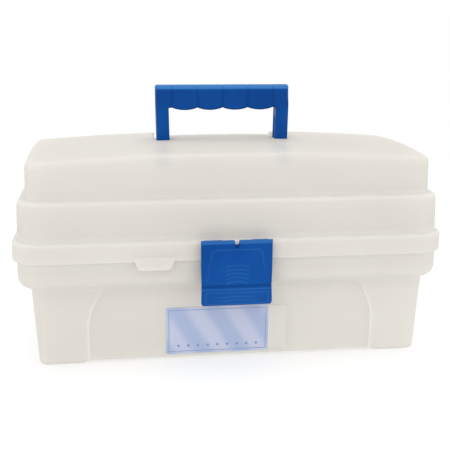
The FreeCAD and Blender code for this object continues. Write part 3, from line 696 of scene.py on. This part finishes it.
def latchPlate():
    # columns along x; each is a closed (y, z) loop: up the embossed front, round the top, down the plain back. The
    # top edge drops into a tapered notch at the middle, the sides draw in at a waist, the lower corners are round.
    k = latch
    along = [np.linspace(low, high, steps, endpoint=False) for low, high, steps in k["columns"]]
    base = np.append(np.concatenate(along), 1.0) * k["half"]
    beside = np.abs(base)
    topZ = k["topZ"] - k["notchDepth"] * smoothStep(k["notchTop"], k["notchLow"], beside)
    into = np.maximum(beside - (k["half"] - k["lowCorner"]), 0.0)
    lowZ = k["lowZ"] + k["lowCorner"] - np.sqrt(np.maximum(k["lowCorner"] ** 2 - into ** 2, 0.0))
    rounding = k["edgeRound"]
    turn = np.linspace(0, np.pi / 2, k["turnSteps"])
    frontShare = np.linspace(0, 1, k["frontSteps"])
    frontZ = lowZ[:, None] + rounding + (topZ - lowZ - 2 * rounding)[:, None] * frontShare[None]
    side = smoothStep(0.0, rounding, k["half"] - beside)[:, None]  # the front edge rolls back at both sides
    relief, frontPaintedShading = latchRelief(base[:, None], frontZ)
    frontY = k["frontY"] - relief + rounding * (1 - side)
    lowTurnZ = lowZ[:, None] + rounding * (1 - np.sin(turn))[None, ::-1]
    lowTurnY = frontY[:, :1] + rounding * (1 - np.cos(turn))[None, ::-1]
    topTurnZ = topZ[:, None] - rounding + rounding * np.sin(turn)[None]
    topTurnY = frontY[:, -1:] + k["topRound"] * (1 - np.cos(turn))[None]
    backZ = np.linspace(0, 1, k["backSteps"])[None] * (lowZ - topZ)[:, None] + topZ[:, None]
    backY = np.full_like(backZ, k["backY"])
    y = np.concatenate([lowTurnY[:, :-1], frontY, topTurnY[:, 1:], backY], axis=1)
    z = np.concatenate([lowTurnZ[:, :-1], frontZ, topTurnZ[:, 1:], backZ], axis=1)
    # the painted highlight at the top of the front carries on round the top edge
    topPaintedHighlight = np.repeat(frontPaintedShading[:, -1:], k["turnSteps"] - 1, axis=1)
    paintedShading = np.concatenate([np.zeros_like(lowTurnZ[:, :-1]), frontPaintedShading, topPaintedHighlight, np.zeros_like(backZ)], axis=1)
    waist = k["waist"] * np.exp(-((z - k["waistZ"]) / k["waistReach"]) ** 2)
    x = base[:, None] * (1 - waist / k["half"])
    return np.stack([x, y, z], axis=-1), paintedShading


def latchEar(sign):
    # knuckle round the pin with a straight root in the plate
    k = latch
    rootY = k["backY"] - k["root"]
    radius = k["knuckle"]
    outline = [(rootY, k["axisZ"] + radius), (rootY, k["axisZ"] - radius)]
    for angle in np.linspace(-np.pi / 2, np.pi / 2, k["earSteps"]):
        outline.append((k["axisY"] + radius * math.cos(angle), k["axisZ"] + radius * math.sin(angle)))
    low, high = sorted((sign * k["earInner"], sign * (k["earInner"] + k["earWidth"])))
    return plain(barTube(outline, low, high, k["earChamfer"]))


def latchHook():
    # flat tongue behind the lower panel
    k = latch
    rootY = k["backY"] - k["root"]
    edge = k["hookRound"]
    outline = [(rootY, k["hookLow"]), (k["hookY"] - edge, k["hookLow"]), (k["hookY"], k["hookLow"] + edge),
               (k["hookY"], k["hookHigh"] - edge), (k["hookY"] - edge, k["hookHigh"]), (rootY, k["hookHigh"])]
    return plain(barTube(outline, -k["hookHalf"], k["hookHalf"], k["hookChamfer"]))


latchPiece = tubeObject("latch_plate", [latchPlate(), latchEar(-1), latchEar(1), latchHook()], "latch",
                        finishes["blue"], latch["smoothAngle"])
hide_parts("front_latch")
print("latch made")


stageLook = {
    "floorHalf": 3.0, "floorSteps": 40, "floorZ": -0.0002, "floorClear": (0.5, 1.3),
    "floorColour": (0.5, 0.5, 0.5, 1.0), "floorRoughness": 0.6, "floorGlow": 0.5,
    "world": 1.0, "target": (0.0, 0.0, 0.1),
    "lights": (("key_soft", (-0.9, -1.3, 1.3), 1.2, 4.0), ("fill_soft", (1.2, -0.9, 0.8), 1.2, 1.3),
               ("top_soft", (0.1, 0.3, 1.6), 1.0, 4.8)),  # name, place, size and watts of each
}


def floorPiece():
    # flat grid that fades out with the distance from the box
    steps = stageLook["floorSteps"]
    side = np.linspace(-stageLook["floorHalf"], stageLook["floorHalf"], steps + 1)
    x, y = np.meshgrid(side, side, indexing="ij")
    points = np.stack([x, y, np.full_like(x, stageLook["floorZ"])], axis=-1).reshape(-1, 3)
    row, column = np.meshgrid(np.arange(steps), np.arange(steps), indexing="ij")
    first = row * (steps + 1) + column
    faces = np.stack([first, first + steps + 1, first + steps + 2, first + 1], axis=-1).reshape(-1, 4)
    mesh = bpy.data.meshes.new("studio_floor")
    mesh.from_pydata(points.tolist(), [], faces.tolist())
    material, tree, shader = newMaterial("floor_white")
    distance = vectorLength(tree, objectCoords(tree))
    clear = mapRange(tree, distance, *stageLook["floorClear"], 1.0, 0.0, smooth=True)
    tree.links.new(clear, shader.inputs["Alpha"])
    setInputs(shader, {"Base Color": stageLook["floorColour"], "Roughness": stageLook["floorRoughness"]})
    # a light table evens out the shadow
    setInputs(shader, {"Emission Color": white, "Emission Strength": stageLook["floorGlow"]})
    mesh.materials.append(material)
    floor = addObject("studio_floor", mesh)


def areaLight(name, place, size, watts):
    data = bpy.data.lights.new(name, "AREA")
    data.energy = watts
    data.size = size
    lamp = addObject(name, data)
    lamp.location = place
    direction = Vector(stageLook["target"]) - Vector(place)
    lamp.rotation_euler = direction.to_track_quat("-Z", "Y").to_euler()


def studioWorld():
    bpy.context.scene.view_settings.view_transform = "Standard"  # plain colours, white stays white
    world = bpy.data.worlds.new("studio_white")
    world.use_nodes = True
    setInputs(world.node_tree.nodes["Background"], {"Color": white, "Strength": stageLook["world"]})
    bpy.context.scene.world = world


view = {  # place and sensor in millimetres, angles in degrees, focal length and frame width in pixels
    "place": (-98.6, -738.8, 273.6), "yaw": 7.85, "pitch": 13.24, "roll": -0.28,
    "focal": 850.0, "frameWidth": 450.0, "sensorWidth": 36.0,
}


def photoCamera():
    # looks along +y, turned right by yaw, down by pitch and round its own line of sight by roll
    data = bpy.data.cameras.new("photo_camera")
    data.sensor_width = view["sensorWidth"]
    data.lens = view["sensorWidth"] * view["focal"] / view["frameWidth"]
    yaw, pitch, roll = (math.radians(view[key]) for key in ("yaw", "pitch", "roll"))
    forward = np.array([math.sin(yaw) * math.cos(pitch), math.cos(yaw) * math.cos(pitch), -math.sin(pitch)])
    right = np.array([math.cos(yaw), -math.sin(yaw), 0.0])
    down = np.cross(forward, right)
    turnedRight = math.cos(roll) * right + math.sin(roll) * down
    turnedDown = -math.sin(roll) * right + math.cos(roll) * down
    rotation = Matrix(np.stack([turnedRight, -turnedDown, -forward], axis=1).tolist())
    camera = addObject("photo_camera", data)
    camera.matrix_world = Matrix.Translation([c * mm for c in view["place"]]) @ rotation.to_4x4()
    bpy.context.scene.camera = camera


floorPiece()
studioWorld()
for light in stageLook["lights"]:
    areaLight(*light)
photoCamera()
print("stage ready")
